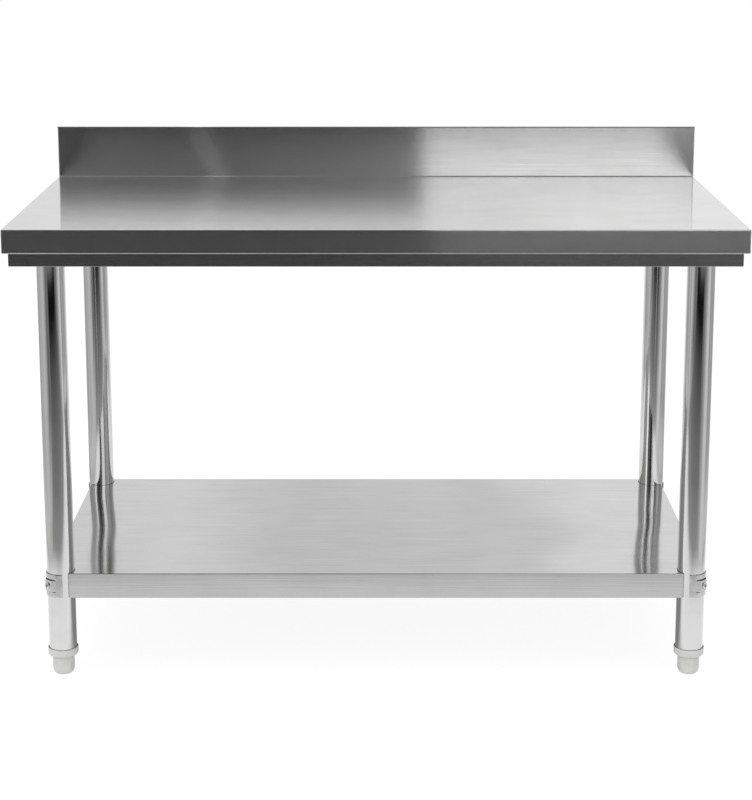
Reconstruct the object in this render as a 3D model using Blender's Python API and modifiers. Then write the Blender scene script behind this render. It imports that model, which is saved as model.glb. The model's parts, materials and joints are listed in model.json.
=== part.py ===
"""Stainless steel work table: folded worktop with a rear upstand, channel underframe, four tube legs on
spigot sockets, an undershelf clamped to the legs by curved saddles, and four screw-out levelling feet.

Units are metres, +Z is up, +X is the worker's right and -Y is the front. The origin is on the floor under
the middle of the table. Run with: blender --background --python part.py
"""

import math

import bmesh
import bpy
from mathutils import Matrix, Vector

# Driving dimensions
WIDTH = 1.400
DEPTH = 0.700
HEIGHT = 0.900  # floor to worktop surface, feet fully screwed in
SPLASH_HEIGHT = 0.110  # upstand above the worktop surface
LEG_DIAMETER = 0.054
SHELF_TOP = 0.2118
GAP = 0.0003  # clearance between pieces that touch

# Worktop sheet
TOP_SHEET = 0.0012
APRON = 0.0465
APRON_HEM = 0.008
SPLASH_DEPTH = 0.016
SPLASH_DROP = 0.020  # fold at the back of the upstand
SPLASH_NOTCH = 0.004  # relief between the upstand's top fold and its end folds
SPLASH_END_GAP = 0.001
FOLD_RADIUS = 0.0024
BOARD_THICKNESS = 0.018

# Underframe
RAIL_INSET = 0.0105
RAIL_BOTTOM = HEIGHT - 0.0725
RAIL_SHEET = 0.0015
RAIL_FLANGE = 0.014
BOARD_BOTTOM = HEIGHT - TOP_SHEET - GAP - BOARD_THICKNESS
RAIL_TOP = BOARD_BOTTOM - GAP
CROSS_CHANNELS = 3
CROSS_PITCH = 0.350
HAT_WIDTH = 0.040
HAT_BRIM = 0.012
HAT_HEIGHT = 0.025
HAT_SHEET = 0.0012

# Legs
LEG_RADIUS = LEG_DIAMETER / 2
LEG_WALL = 0.0012
LEG_X = 0.6185
LEG_Y = 0.289
LEG_BOTTOM = 0.055
SOCKET_PLATE = 0.084
SOCKET_PLATE_THICKNESS = 0.003
SOCKET_TOP = RAIL_TOP - RAIL_SHEET - GAP
LEG_TOP = SOCKET_TOP - SOCKET_PLATE_THICKNESS - GAP
SPIGOT_LENGTH = 0.060
SPIGOT_WALL = 0.0025
SET_SCREW_RADIUS = 0.004
SET_SCREW_SOCKET_RADIUS = 0.0022
SET_SCREW_SOCKET_DEPTH = 0.0025
SET_SCREW_PAST_WALL = 0.002
SET_SCREW_Z = LEG_TOP - 0.030

# Undershelf
SHELF_SHEET = 0.001
SHELF_LIP = 0.050
SHELF_HEM = 0.012
SHELF_HEM_RELIEF = 0.002  # past the hem's mitred ends
LIP_OFFSET = 0.0215  # lips outside the leg centres
NOTCH_RADIUS = LEG_RADIUS + SHELF_SHEET + GAP
SHELF_CHANNEL_Y = 0.120
SHELF_CHANNEL_HEIGHT = 0.020

# Clamp at each shelf corner, on the diagonal that points away from the shelf's middle
CLAMP_RADIUS = LEG_RADIUS + GAP
SADDLE_SHEET = 0.002
SADDLE_HALF_ANGLE = math.radians(60)
SADDLE_HEIGHT = 0.046
SADDLE_TOP = SHELF_TOP - 0.001
SLIT_HALF_ANGLE = math.radians(31)
SLIT_WIDTH = 0.0012
STRIP_HEIGHT = 0.023  # raised strip between the two slits
SEAT_HALF_ANGLE = math.radians(14)
SEAT_RISE = 0.0022
BRACKET_HALF_ANGLE = math.radians(74)
BRACKET_HEIGHT = 0.044
SCREW_RADIUS = 0.003
SCREW_HEAD_RADIUS = 0.006
SCREW_HEAD_HEIGHT = 0.0036
SCREW_HEAD_ROUND = 0.0026
SCREW_PAST_NUT = 0.004
RECESS_HALF_LENGTH = 0.0034
RECESS_HALF_WIDTH = 0.0006
RECESS_DEPTH = 0.002
SCREW_Z = SADDLE_TOP - SADDLE_HEIGHT / 2
NUT_RADIUS = 0.0058
NUT_HEIGHT = 0.005

# Levelling foot
COLLAR_RADIUS = 0.0295
COLLAR_BOTTOM = 0.0385
COLLAR_ROUND = 0.005
PLUG_RADIUS = LEG_RADIUS - LEG_WALL - GAP
PLUG_TOP = 0.085
PLUG_WALL = 0.003
BOSS_RADIUS = 0.012
BOSS_TOP = 0.080
POCKET_FLOOR = 0.060
STUD_RADIUS = 0.006
STUD_BOTTOM = 0.0125
STUD_TOP = 0.114
STUD_CHAMFER = 0.001
BULLET_RADIUS = 0.0214
BULLET_FLATS = 0.0196  # half of the width across the six wrench flats
BULLET_FLAT_TOP = 0.026
BULLET_FLAT_STEP = 0.002  # height over which the round body runs into the flats
BULLET_TOP_CHAMFER = 0.0012
BULLET_TAPER_TOP = 0.012
BULLET_PAD_RADIUS = 0.0135

PAST = 0.002  # how far a cutter runs past the wall it cuts

FINISHES = {}


def clear_scene():
    for old in list(bpy.data.objects):
        bpy.data.objects.remove(old, do_unlink=True)


def make_material(name, colour, metallic, roughness):
    material = bpy.data.materials.new(name)
    material.use_nodes = True
    shader = material.node_tree.nodes["Principled BSDF"]
    shader.inputs["Base Color"].default_value = (*colour, 1)
    shader.inputs["Metallic"].default_value = metallic
    shader.inputs["Roughness"].default_value = roughness
    return material


def make_collection(name):
    collection = bpy.data.collections.new(name)
    bpy.context.scene.collection.children.link(collection)
    return collection


def place(name, mesh, material, location=(0, 0, 0), turn=0.0, collection=None):
    """An object of this mesh, turned about its own Z axis."""
    obj = bpy.data.objects.new(name, mesh)
    obj.location = location
    obj.rotation_euler = (0, 0, turn)
    if material is not None and not mesh.materials:
        mesh.materials.append(material)
    (collection or TABLE).objects.link(obj)
    return obj


def mesh_of(bm, name):
    bmesh.ops.recalc_face_normals(bm, faces=bm.faces)
    mesh = bpy.data.meshes.new(name)
    bm.to_mesh(mesh)
    bm.free()
    return mesh


def bake(obj):
    """The object's mesh with its modifiers applied. The object and its cutters are removed."""
    bpy.context.view_layer.update()
    graph = bpy.context.evaluated_depsgraph_get()
    mesh = bpy.data.meshes.new_from_object(obj.evaluated_get(graph))
    mesh.name = obj.name
    cutters = [m.object for m in obj.modifiers if m.type == "BOOLEAN"]
    for used in [obj, *cutters]:
        bpy.data.objects.remove(used, do_unlink=True)
    return mesh


def smooth(mesh, angle=40):
    mesh.shade_smooth()
    mesh.set_sharp_from_angle(angle=math.radians(angle))
    return mesh


def box_mesh(name, low, high):
    bm = bmesh.new()
    size = Vector(high) - Vector(low)
    middle = (Vector(high) + Vector(low)) / 2
    bmesh.ops.create_cube(bm, size=1)
    bmesh.ops.scale(bm, vec=size, verts=bm.verts)
    bmesh.ops.translate(bm, vec=middle, verts=bm.verts)
    return mesh_of(bm, name)


def rod_mesh(name, radius, start, end, sides=24):
    """A closed cylinder from start to end along X."""
    bm = bmesh.new()
    bmesh.ops.create_cone(
        bm, cap_ends=True, segments=sides, radius1=radius, radius2=radius, depth=end - start
    )
    bmesh.ops.rotate(bm, matrix=Matrix.Rotation(math.pi / 2, 3, "Y"), verts=bm.verts)
    bmesh.ops.translate(bm, vec=((start + end) / 2, 0, 0), verts=bm.verts)
    return mesh_of(bm, name)


def turned_mesh(name, profile, steps):
    """A profile of (radius, z) points, down the outer side, turned about Z.

    It is a closed ring unless it starts and ends on the axis.
    """
    mesh = bpy.data.meshes.new(name)
    edges = [(i, i + 1) for i in range(len(profile) - 1)]
    if profile[0][0] > 0:
        edges.append((len(profile) - 1, 0))
    mesh.from_pydata([(r, 0, z) for r, z in profile], edges, [])
    obj = place(name, mesh, None, collection=CUTTERS)
    screw = obj.modifiers.new("turn", "SCREW")
    screw.angle = math.tau
    screw.steps = screw.render_steps = steps
    screw.use_merge_vertices = True
    screw.merge_threshold = 0.00001
    return bake(obj)


def arc(middle, radius, start, end, count):
    """count points on an arc, with angles in degrees."""
    turns = [math.radians(start + (end - start) * i / (count - 1)) for i in range(count)]
    return [(middle[0] + radius * math.cos(a), middle[1] + radius * math.sin(a)) for a in turns]


def cut(mesh, cutters, operation="DIFFERENCE"):
    """The mesh after a Boolean with each cutter mesh."""
    obj = place(mesh.name, mesh, None, collection=CUTTERS)
    for i, cutter in enumerate(cutters):
        tool = place(f"{mesh.name}_cutter_{i}", cutter, None, collection=CUTTERS)
        tool.hide_render = True
        tool.display_type = "WIRE"
        boolean = obj.modifiers.new(f"cut_{i}", "BOOLEAN")
        boolean.operation = operation
        boolean.solver = "EXACT"
        boolean.object = tool
    return bake(obj)


def add_sheet_modifiers(obj, thickness, radius, segments=2, angle=30):
    """Rounds the folds of an open surface, then gives it its thickness, away from its normals."""
    if radius:
        bevel = obj.modifiers.new("folds", "BEVEL")
        bevel.width = radius
        bevel.segments = segments
        bevel.limit_method = "ANGLE"
        bevel.angle_limit = math.radians(angle)
        bevel.use_clamp_overlap = False
    solid = obj.modifiers.new("sheet", "SOLIDIFY")
    solid.solidify_mode = "NON_MANIFOLD"
    solid.nonmanifold_thickness_mode = "CONSTRAINTS"
    solid.thickness = thickness
    solid.offset = -1
    return obj


def edge_between(bm, a, b):
    """The edge whose two ends are at these points."""
    for edge in bm.edges:
        ends = [v.co for v in edge.verts]
        for p, q in (ends, ends[::-1]):
            if (p - Vector(a)).length < 1e-6 and (q - Vector(b)).length < 1e-6:
                return edge
    raise ValueError(f"no edge from {a} to {b}")


def extrude(bm, edges, vec):
    """Extrudes edges along vec and returns the new edges."""
    made = bmesh.ops.extrude_edge_only(bm, edges=edges)["geom"]
    verts = [g for g in made if isinstance(g, bmesh.types.BMVert)]
    bmesh.ops.translate(bm, vec=vec, verts=verts)
    return [g for g in made if isinstance(g, bmesh.types.BMEdge) and set(g.verts) <= set(verts)]


def orient_like(bm, point, normal):
    """Makes the surface's normals consistent, so that the face at this point has this normal."""
    bmesh.ops.recalc_face_normals(bm, faces=bm.faces)
    nearest = min(bm.faces, key=lambda f: (f.calc_center_median() - Vector(point)).length)
    if nearest.normal.dot(Vector(normal)) < 0:
        bmesh.ops.reverse_faces(bm, faces=bm.faces)


def worktop():
    """One folded sheet: surface, front and side aprons with hems, and the upstand with its top, back and
    end folds."""
    x = WIDTH / 2
    front = -DEPTH / 2
    back = DEPTH / 2 - SPLASH_DEPTH
    end_top = HEIGHT + SPLASH_HEIGHT - SPLASH_NOTCH
    apron_bottom = HEIGHT - APRON
    bm = bmesh.new()
    corners = [(-x, front), (x, front), (x, back), (-x, back)]
    bm.faces.new([bm.verts.new((cx, cy, HEIGHT)) for cx, cy in corners])

    def at(px, py, pz=HEIGHT):
        return (px, py, pz)

    sides = [
        edge_between(bm, at(-x, front), at(x, front)),
        edge_between(bm, at(x, front), at(x, back)),
        edge_between(bm, at(-x, back), at(-x, front)),
    ]
    hem = extrude(bm, extrude(bm, sides, (0, 0, -APRON)), (0, 0, 0))
    for vert in {v for e in hem for v in e.verts}:
        vert.co.x -= math.copysign(APRON_HEM, vert.co.x)
        if vert.co.y < 0:
            vert.co.y += APRON_HEM

    riser = [edge_between(bm, at(-x, back), at(x, back))]
    riser = extrude(bm, riser, (0, 0, SPLASH_HEIGHT - SPLASH_NOTCH))
    riser = extrude(bm, riser, (0, 0, SPLASH_NOTCH))
    riser = extrude(bm, riser, (0, SPLASH_DEPTH, 0))
    extrude(bm, riser, (0, 0, -SPLASH_DROP))

    for px in (-x, x):
        ends = [
            edge_between(bm, at(px, back, apron_bottom), at(px, back)),
            edge_between(bm, at(px, back), at(px, back, end_top)),
        ]
        extrude(bm, ends, (0, SPLASH_DEPTH - TOP_SHEET - SPLASH_END_GAP, 0))

    orient_like(bm, (0, 0, HEIGHT), (0, 0, 1))
    mesh = bpy.data.meshes.new("worktop")
    bm.to_mesh(mesh)
    bm.free()
    obj = place("worktop", mesh, FINISHES["sheet"])
    add_sheet_modifiers(obj, TOP_SHEET, FOLD_RADIUS)


def core_board():
    edge = FOLD_RADIUS + GAP
    low = (-WIDTH / 2 + edge, -DEPTH / 2 + edge, BOARD_BOTTOM)
    back = DEPTH / 2 - SPLASH_DEPTH - RAIL_SHEET - 2 * GAP
    high = (WIDTH / 2 - edge, back, BOARD_BOTTOM + BOARD_THICKNESS)
    place("core_board", box_mesh("core_board", low, high), FINISHES["board"])


def channel_section(bottom, top, flange):
    """Closed outline of a C section as (distance inward, z)."""
    t = RAIL_SHEET
    return [
        (0, bottom),
        (0, top),
        (flange, top),
        (flange, top - t),
        (t, top - t),
        (t, bottom + t),
        (flange, bottom + t),
        (flange, bottom),
    ]


def angle_section(bottom, top, flange):
    """Closed outline of an L section as (distance inward, z)."""
    t = RAIL_SHEET
    return [(0, bottom), (0, top), (t, top), (t, bottom + t), (flange, bottom + t), (flange, bottom)]


def mitred_rail(name, section, length, middle, turn):
    """A rail along its own X axis, with its outer face on y = 0, +Y inward, and both ends mitred."""
    bm = bmesh.new()
    rings = []
    for side in (-1, 1):
        rings.append([bm.verts.new((side * (length / 2 - d - GAP), d, z)) for d, z in section])
    count = len(section)
    for i in range(count):
        j = (i + 1) % count
        bm.faces.new((rings[0][i], rings[0][j], rings[1][j], rings[1][i]))
    for ring in rings:
        bm.faces.new(ring)
    mesh = mesh_of(bm, name)
    place(name, mesh, FINISHES["sheet"], location=(*middle, 0), turn=turn)


def rails():
    """The perimeter frame under the board. The rear rail is taller and covers the board's rear edge."""
    half_x = WIDTH / 2 - RAIL_INSET
    front = -DEPTH / 2 + RAIL_INSET
    back = DEPTH / 2 - SPLASH_DEPTH
    section = channel_section(RAIL_BOTTOM, RAIL_TOP, RAIL_FLANGE)
    rear_section = angle_section(RAIL_BOTTOM, HEIGHT - TOP_SHEET - GAP, RAIL_FLANGE)
    side = back - front
    middle_y = (back + front) / 2
    mitred_rail("front_rail", section, 2 * half_x, (0, front), 0)
    mitred_rail("rear_rail", rear_section, 2 * half_x, (0, back), math.pi)
    mitred_rail("right_rail", section, side, (half_x, middle_y), math.pi / 2)
    mitred_rail("left_rail", section, side, (-half_x, middle_y), -math.pi / 2)


def hat_channel(name, length, height, location, turn):
    """An open-bottomed hat section along its own X axis, with its crown up and its brims down."""
    half = HAT_WIDTH / 2
    bm = bmesh.new()
    profile = [(-half - HAT_BRIM, -height), (-half, -height), (-half, 0), (half, 0)]
    profile += [(half, -height), (half + HAT_BRIM, -height)]
    verts = [bm.verts.new((-length / 2, y, z)) for y, z in profile]
    edges = [bm.edges.new(pair) for pair in zip(verts, verts[1:])]
    extrude(bm, edges, (length, 0, 0))
    orient_like(bm, (0, 0, 0), (0, 0, 1))
    mesh = bpy.data.meshes.new(name)
    bm.to_mesh(mesh)
    bm.free()
    obj = place(name, mesh, FINISHES["sheet"], location=location, turn=turn)
    add_sheet_modifiers(obj, HAT_SHEET, 0)


def cross_channels():
    front = -DEPTH / 2 + RAIL_INSET + RAIL_FLANGE
    back = DEPTH / 2 - SPLASH_DEPTH - RAIL_FLANGE
    length = back - front - 4 * GAP
    for i in range(CROSS_CHANNELS):
        x = (i - (CROSS_CHANNELS - 1) / 2) * CROSS_PITCH
        where = (x, (front + back) / 2, RAIL_TOP)
        hat_channel(f"cross_channel_{i + 1}", length, HAT_HEIGHT, where, math.pi / 2)


def tube_mesh(name, outer, wall, bottom, top, steps):
    inner = outer - wall
    profile = [(outer, top), (outer, bottom), (inner, bottom), (inner, top)]
    return turned_mesh(name, profile, steps)


def hole(radius, start, end, z):
    """A cutter along X at this height."""
    mesh = rod_mesh("hole", radius, start, end, 12)
    mesh.transform(Matrix.Translation((0, 0, z)))
    return mesh


def leg_mesh():
    """Along Z, with the clamp screw's holes through both walls and the set screw's hole on the inner side,
    towards -X."""
    tube = tube_mesh("leg_tube", LEG_RADIUS, LEG_WALL, LEG_BOTTOM, LEG_TOP, 32)
    reach = LEG_RADIUS + PAST
    holes = [
        hole(SCREW_RADIUS + GAP, -reach, reach, SCREW_Z),
        hole(SET_SCREW_RADIUS + GAP, -reach, 0, SET_SCREW_Z),
    ]
    return smooth(cut(tube, holes))


def socket_mesh():
    """A square plate with a spigot tube under it. It is turned back by an eighth, so that the plate is square
    to the table when the leg's -X side faces the table's middle."""
    half = SOCKET_PLATE / 2
    bottom = SOCKET_TOP - SOCKET_PLATE_THICKNESS
    plate = box_mesh("leg_socket", (-half, -half, bottom), (half, half, SOCKET_TOP))
    plate.transform(Matrix.Rotation(math.pi / 4, 4, "Z"))
    outer = LEG_RADIUS - LEG_WALL - GAP
    spigot = tube_mesh("spigot", outer, SPIGOT_WALL, bottom - SPIGOT_LENGTH, bottom + 0.001, 24)
    joined = cut(plate, [spigot], "UNION")
    return cut(joined, [hole(SET_SCREW_RADIUS + GAP, -outer - PAST, 0, SET_SCREW_Z)])


def set_screw_mesh():
    """A hex-socket grub screw in the leg wall and the spigot wall, on the -X side."""
    outer_end = -LEG_RADIUS
    inner_end = -LEG_RADIUS + LEG_WALL + SPIGOT_WALL + SET_SCREW_PAST_WALL
    body = rod_mesh("socket_screw", SET_SCREW_RADIUS, outer_end, inner_end, 16)
    recess = rod_mesh(
        "recess", SET_SCREW_SOCKET_RADIUS, outer_end - PAST, outer_end + SET_SCREW_SOCKET_DEPTH, 6
    )
    mesh = cut(body, [recess])
    mesh.transform(Matrix.Translation((0, 0, SET_SCREW_Z)))
    return mesh


def shelf_corner(sx, sy, steps=14):
    """The concave notch round one leg, from the front or back lip to the side lip, in order of angle."""
    reach = math.asin(LIP_OFFSET / NOTCH_RADIUS)
    inward = math.atan2(-sy, -sx)
    half = math.pi * 3 / 4 - reach
    spread = math.pi - half
    points = []
    for i in range(steps + 1):
        a = inward - spread + 2 * spread * i / steps
        px = sx * LEG_X + NOTCH_RADIUS * math.cos(a)
        py = sy * LEG_Y + NOTCH_RADIUS * math.sin(a)
        points.append((px, py, SHELF_TOP))
    return points


def undershelf():
    """One folded sheet with lips and hems on four sides, and a round notch at each leg."""
    bm = bmesh.new()
    outline = []
    for sx, sy in ((-1, -1), (1, -1), (1, 1), (-1, 1)):
        outline += reversed(shelf_corner(sx, sy))
    bm.faces.new([bm.verts.new(p) for p in outline])
    long_edges = [e for e in bm.edges if e.calc_length() > LEG_Y]
    for edge in long_edges:
        middle = sum((v.co for v in edge.verts), Vector()) / 2
        inward = Vector((-middle.x, -middle.y, 0)).normalized()
        along = Vector((abs(inward.y), abs(inward.x), 0))
        lip = extrude(bm, [edge], (0, 0, -SHELF_LIP))
        hem = extrude(bm, lip, inward * SHELF_HEM)
        for vert in hem[0].verts:
            past = (vert.co - middle).dot(along)
            vert.co -= along * math.copysign(SHELF_HEM + SHELF_HEM_RELIEF, past)
    orient_like(bm, (0, 0, SHELF_TOP), (0, 0, 1))
    mesh = bpy.data.meshes.new("undershelf")
    bm.to_mesh(mesh)
    bm.free()
    obj = place("undershelf", mesh, FINISHES["sheet"])
    add_sheet_modifiers(obj, SHELF_SHEET, 0)


def shelf_channels():
    top = SHELF_TOP - SHELF_SHEET - GAP
    length = 2 * (LEG_X - LEG_RADIUS)
    for name, y in (("shelf_channel_front", -SHELF_CHANNEL_Y), ("shelf_channel_rear", SHELF_CHANNEL_Y)):
        hat_channel(name, length, SHELF_CHANNEL_HEIGHT, (0, y, top), 0)


def curved_plate(name, columns, rows, radius_at, missing=()):
    """A plate round the Z axis, made of a grid of angles and heights, thickened outward. radius_at gives the
    inner radius at a column and a row; missing holds the (column, row) cells left open."""
    bm = bmesh.new()
    grid = []
    for c, a in enumerate(columns):
        radii = [radius_at(c, r) for r in range(len(rows))]
        grid.append([bm.verts.new((q * math.cos(a), q * math.sin(a), z)) for q, z in zip(radii, rows)])
    for c in range(len(columns) - 1):
        for r in range(len(rows) - 1):
            if (c, r) not in missing:
                bm.faces.new((grid[c][r], grid[c + 1][r], grid[c + 1][r + 1], grid[c][r + 1]))
    middle = columns[len(columns) // 2]
    inner = (math.cos(middle) * CLAMP_RADIUS, math.sin(middle) * CLAMP_RADIUS, rows[0])
    orient_like(bm, inner, (-math.cos(middle), -math.sin(middle), 0))
    mesh = bpy.data.meshes.new(name)
    bm.to_mesh(mesh)
    bm.free()
    obj = place(name, mesh, None, collection=CUTTERS)
    add_sheet_modifiers(obj, SADDLE_SHEET, 0)
    return bake(obj)


def strip_radius(angle):
    """Inner radius of the raised strip: a flat seat in the middle, easing down to the leg at its ends."""
    flat = CLAMP_RADIUS + SEAT_RISE
    a = abs(angle)
    if a <= SEAT_HALF_ANGLE:
        return flat / math.cos(a)
    t = min((a - SEAT_HALF_ANGLE) / (SLIT_HALF_ANGLE - SEAT_HALF_ANGLE), 1)
    ease = t * t * (3 - 2 * t)
    return flat / math.cos(SEAT_HALF_ANGLE) * (1 - ease) + CLAMP_RADIUS * ease


def saddle_mesh():
    """The clamp plate outside a leg, centred on +X, with two slits and the strip between them raised."""
    end, slit, seat = SADDLE_HALF_ANGLE, SLIT_HALF_ANGLE, SEAT_HALF_ANGLE
    inside = [-slit + (slit - seat) * i / 4 for i in range(5)]
    half = [-end, -end * 0.84, -end * 0.68, *inside, -seat / 2]
    columns = half + [0] + [-a for a in reversed(half)]
    middle = SCREW_Z
    strip = STRIP_HEIGHT / 2
    rows = [middle - SADDLE_HEIGHT / 2, middle - strip - SLIT_WIDTH, middle - strip]
    rows += [middle + strip, middle + strip + SLIT_WIDTH, middle + SADDLE_HEIGHT / 2]

    def radius_at(c, r):
        raised = r in (2, 3) and abs(columns[c]) < slit - 1e-6
        return strip_radius(columns[c]) if raised else CLAMP_RADIUS

    open_columns = [c for c in range(len(columns) - 1) if abs(columns[c] + columns[c + 1]) / 2 < slit]
    missing = {(c, r) for c in open_columns for r in (1, 3)}
    plate = curved_plate("clamp_saddle", columns, rows, radius_at, missing)
    outside = CLAMP_RADIUS + SEAT_RISE + SADDLE_SHEET + PAST
    return cut(plate, [hole(SCREW_RADIUS + GAP, CLAMP_RADIUS - PAST, outside, SCREW_Z)])


def bracket_mesh():
    """The curved plate under the shelf's notch, on the -X side of the leg."""
    top = SHELF_TOP - SHELF_SHEET - GAP
    steps = 16
    columns = [math.pi + BRACKET_HALF_ANGLE * (2 * i / steps - 1) for i in range(steps + 1)]
    plate = curved_plate("corner_bracket", columns, [top - BRACKET_HEIGHT, top], lambda c, r: CLAMP_RADIUS)
    outside = CLAMP_RADIUS + SADDLE_SHEET + PAST
    return cut(plate, [hole(SCREW_RADIUS + GAP, -outside, PAST - CLAMP_RADIUS, SCREW_Z)])


def screw_mesh():
    """A cross-recess pan-head screw along X through the saddle, the leg and the bracket, head at +X."""
    under_head = CLAMP_RADIUS + SEAT_RISE + SADDLE_SHEET + GAP
    tip = -(CLAMP_RADIUS + SADDLE_SHEET + NUT_HEIGHT + SCREW_PAST_NUT)
    flat = SCREW_HEAD_RADIUS - SCREW_HEAD_ROUND
    crown = arc((flat, under_head + SCREW_HEAD_HEIGHT - SCREW_HEAD_ROUND), SCREW_HEAD_ROUND, 0, 90, 4)
    profile = [(0, under_head + SCREW_HEAD_HEIGHT), *reversed(crown), (SCREW_HEAD_RADIUS, under_head)]
    profile += [(SCREW_RADIUS, under_head), (SCREW_RADIUS, tip), (0, tip)]
    body = turned_mesh("saddle_screw", profile, 16)
    top = under_head + SCREW_HEAD_HEIGHT
    bars = [
        box_mesh("bar", (-a, -b, top - RECESS_DEPTH), (a, b, top + PAST))
        for a, b in ((RECESS_HALF_LENGTH, RECESS_HALF_WIDTH), (RECESS_HALF_WIDTH, RECESS_HALF_LENGTH))
    ]
    mesh = cut(body, bars)
    mesh.transform(Matrix.Rotation(math.pi / 2, 4, "Y"))
    mesh.transform(Matrix.Translation((0, 0, SCREW_Z)))
    return smooth(mesh)


def nut_mesh():
    start = CLAMP_RADIUS + SADDLE_SHEET + GAP
    body = rod_mesh("saddle_nut", NUT_RADIUS, -start - NUT_HEIGHT, -start, 6)
    bore = rod_mesh("bore", SCREW_RADIUS + GAP, -start - NUT_HEIGHT - PAST, -start + PAST, 12)
    mesh = cut(body, [bore])
    mesh.transform(Matrix.Translation((0, 0, SCREW_Z)))
    return mesh


def collar_mesh():
    """The plastic insert in the tube's end: a rounded ring that shows, a hollow plug and a threaded boss."""
    rounding = arc((COLLAR_RADIUS - COLLAR_ROUND, COLLAR_BOTTOM + COLLAR_ROUND), COLLAR_ROUND, 0, -90, 4)
    profile = [(PLUG_RADIUS, PLUG_TOP), (PLUG_RADIUS, LEG_BOTTOM - GAP), (COLLAR_RADIUS, LEG_BOTTOM - GAP)]
    profile += rounding
    bore = STUD_RADIUS + GAP
    profile += [(bore, COLLAR_BOTTOM), (bore, BOSS_TOP), (BOSS_RADIUS, BOSS_TOP), (BOSS_RADIUS, POCKET_FLOOR)]
    profile += [(PLUG_RADIUS - PLUG_WALL, POCKET_FLOOR), (PLUG_RADIUS - PLUG_WALL, PLUG_TOP)]
    return smooth(turned_mesh("foot_collar", profile, 24))


def stud_mesh():
    shoulder = STUD_TOP - STUD_CHAMFER
    profile = [(0, STUD_TOP), (STUD_RADIUS - STUD_CHAMFER, STUD_TOP), (STUD_RADIUS, shoulder)]
    profile += [(STUD_RADIUS, STUD_BOTTOM), (0, STUD_BOTTOM)]
    return smooth(turned_mesh("foot_stud", profile, 16))


def bullet_profile():
    """Outer side of the plastic foot, downwards: a straight body over a rounded taper to the floor pad."""
    top = COLLAR_BOTTOM - GAP
    points = [(BULLET_RADIUS - BULLET_TOP_CHAMFER / 2, top), (BULLET_RADIUS, top - BULLET_TOP_CHAMFER)]
    points += [(BULLET_RADIUS, BULLET_FLAT_TOP), (BULLET_RADIUS, BULLET_FLAT_TOP - BULLET_FLAT_STEP)]
    steps = 4
    for i in range(steps + 1):
        a = math.pi / 2 * i / steps
        radius = BULLET_PAD_RADIUS + (BULLET_RADIUS - BULLET_PAD_RADIUS) * math.cos(a)
        points.append((radius, BULLET_TAPER_TOP * (1 - math.sin(a))))
    return points


def bullet_mesh(sides=24):
    """A loft of round sections into a rounded hexagon, with a blind bore for the stud."""
    bm = bmesh.new()
    bore = STUD_RADIUS + GAP
    top = COLLAR_BOTTOM - GAP
    floor = STUD_BOTTOM - GAP
    rings = []
    for radius, z in [(bore, floor), (bore, top), *bullet_profile()]:
        ring = []
        for i in range(sides):
            a = math.tau * i / sides
            r = radius
            if radius > bore and z < BULLET_FLAT_TOP:
                to_flat = math.remainder(a, math.tau / 6)
                r = min(radius, BULLET_FLATS / math.cos(to_flat))
            ring.append(bm.verts.new((r * math.cos(a), r * math.sin(a), z)))
        rings.append(ring)
    for low, high in zip(rings, rings[1:]):
        for i in range(sides):
            j = (i + 1) % sides
            bm.faces.new((low[i], low[j], high[j], high[i]))
    bm.faces.new(rings[0])
    bm.faces.new(rings[-1])
    return smooth(mesh_of(bm, "foot_bullet"), 50)


def corners():
    """(name, x, y, direction away from the table's middle) of each leg."""
    sides = (("front_left", -1, -1), ("front_right", 1, -1), ("rear_right", 1, 1), ("rear_left", -1, 1))
    for name, sx, sy in sides:
        yield name, sx * LEG_X, sy * LEG_Y, math.atan2(sy, sx)


def corner_pieces():
    kinds = (
        ("leg_tube", leg_mesh(), "tube"),
        ("leg_socket", socket_mesh(), "plate"),
        ("socket_screw", set_screw_mesh(), "fastener"),
        ("corner_bracket", bracket_mesh(), "plate"),
        ("clamp_saddle", saddle_mesh(), "plate"),
        ("saddle_screw", screw_mesh(), "fastener"),
        ("saddle_nut", nut_mesh(), "fastener"),
        ("foot_collar", collar_mesh(), "plastic"),
        ("foot_stud", stud_mesh(), "fastener"),
        ("foot_bullet", bullet_mesh(), "plastic"),
    )
    for corner, x, y, direction in corners():
        for kind, mesh, finish in kinds:
            place(f"{kind}_{corner}", mesh, FINISHES[finish], location=(x, y, 0), turn=direction)


def make_materials():
    FINISHES["sheet"] = make_material("brushed_sheet", (0.62, 0.62, 0.61), 1.0, 0.30)
    FINISHES["tube"] = make_material("polished_tube", (0.66, 0.66, 0.65), 1.0, 0.16)
    FINISHES["plate"] = make_material("clamp_plate", (0.58, 0.58, 0.57), 1.0, 0.28)
    FINISHES["fastener"] = make_material("fastener_steel", (0.55, 0.55, 0.55), 1.0, 0.25)
    FINISHES["plastic"] = make_material("grey_plastic", (0.62, 0.62, 0.61), 0.0, 0.45)
    FINISHES["board"] = make_material("core_board", (0.20, 0.13, 0.08), 0.0, 0.80)


clear_scene()
TABLE = make_collection("stainless_work_table")
CUTTERS = make_collection("cutters")
make_materials()
worktop()
core_board()
rails()
cross_channels()
undershelf()
shelf_channels()
corner_pieces()
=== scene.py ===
"""Looks of the stainless steel work table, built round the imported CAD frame.

Units are metres, +Z is up, +X is the worker's right and -Y is the front. Every sheet, tube, clamp and foot is
made again with real bend radii, edges and threads, in the place and size that the frame gives.
"""

import json
import math

import bmesh
import bpy
from mathutils import Matrix, Vector


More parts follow.
